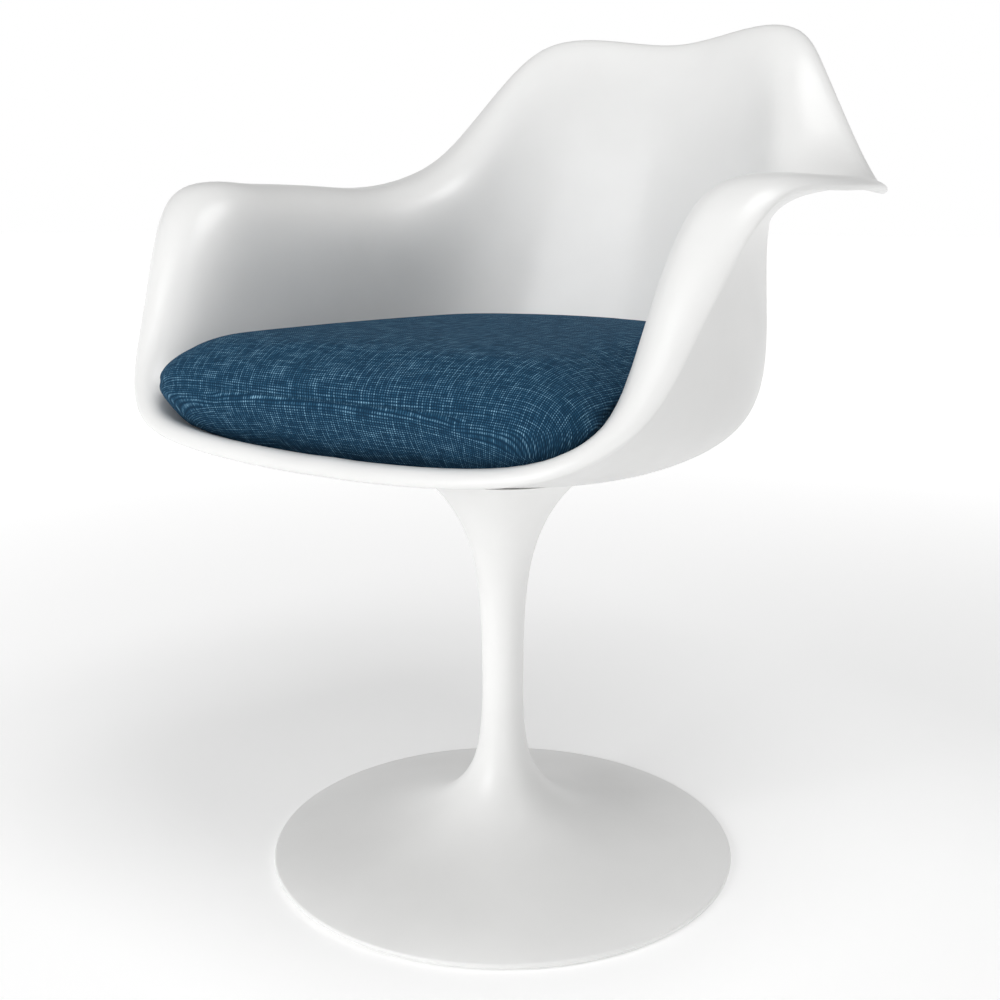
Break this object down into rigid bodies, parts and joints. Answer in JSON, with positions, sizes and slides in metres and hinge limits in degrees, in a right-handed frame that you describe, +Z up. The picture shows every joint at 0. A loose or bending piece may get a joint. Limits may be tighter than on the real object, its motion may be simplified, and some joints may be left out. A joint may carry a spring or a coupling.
{
  "type": "swivel armchair",
  "caption": "Moulded bucket-seat armchair with rolled arms that swivels on a trumpet pedestal, with a loose seat cushion.",
  "frame": {"origin": "on the floor, under the swivel axis", "axes": "+Z up along the swivel axis, -Y the way the sitter faces, +X the sitter's left"},
  "size_m": [0.6658, 0.6022, 0.8055],
  "materials": {
    "pedestal_paint": "satin white coating on a cast base",
    "glide_plastic": "plain moulded glide",
    "bush_bronze": "turned bearing bronze",
    "washer_plastic": "plain bearing plastic",
    "fitting_steel": "zinc-plated steel",
    "shell_moulding": "satin white coated fibre moulding",
    "fastening_tape": "woven hook and loop tape",
    "cushion_filling": "cut foam",
    "cushion_cloth": "coarse woven cloth"
  },
  "bodies": {
    "pedestal": {"pedestal": "pedestal_paint", "foot_glide": "glide_plastic", "upper_bush": "bush_bronze", "lower_bush": "bush_bronze", "thrust_washer": "washer_plastic"},
    "seat": {"seat_shell": "shell_moulding", "swivel_plate": "fitting_steel", "spindle": "fitting_steel", "spindle_washer": "fitting_steel", "retaining_ring": "fitting_steel", "seat_bolts": "fitting_steel", "bolt_washers": "fitting_steel", "hook_pads": "fastening_tape"},
    "cushion": {"cushion_foam": "cushion_filling", "cushion_top_cover": "cushion_cloth", "cushion_bottom_cover": "cushion_cloth", "loop_pads": "fastening_tape"}
  },
  "joints": [
    {"name": "seat_swivel", "type": "hinge", "parent": "pedestal", "child": "seat", "pos_m": [0, 0, 0.364], "axis": [0, 0, 1], "continuous": true},
    {"name": "cushion_lift", "type": "slide", "parent": "seat", "child": "cushion", "axis": [0, 0, 1], "range_m": [0, 0.35]}
  ]
}
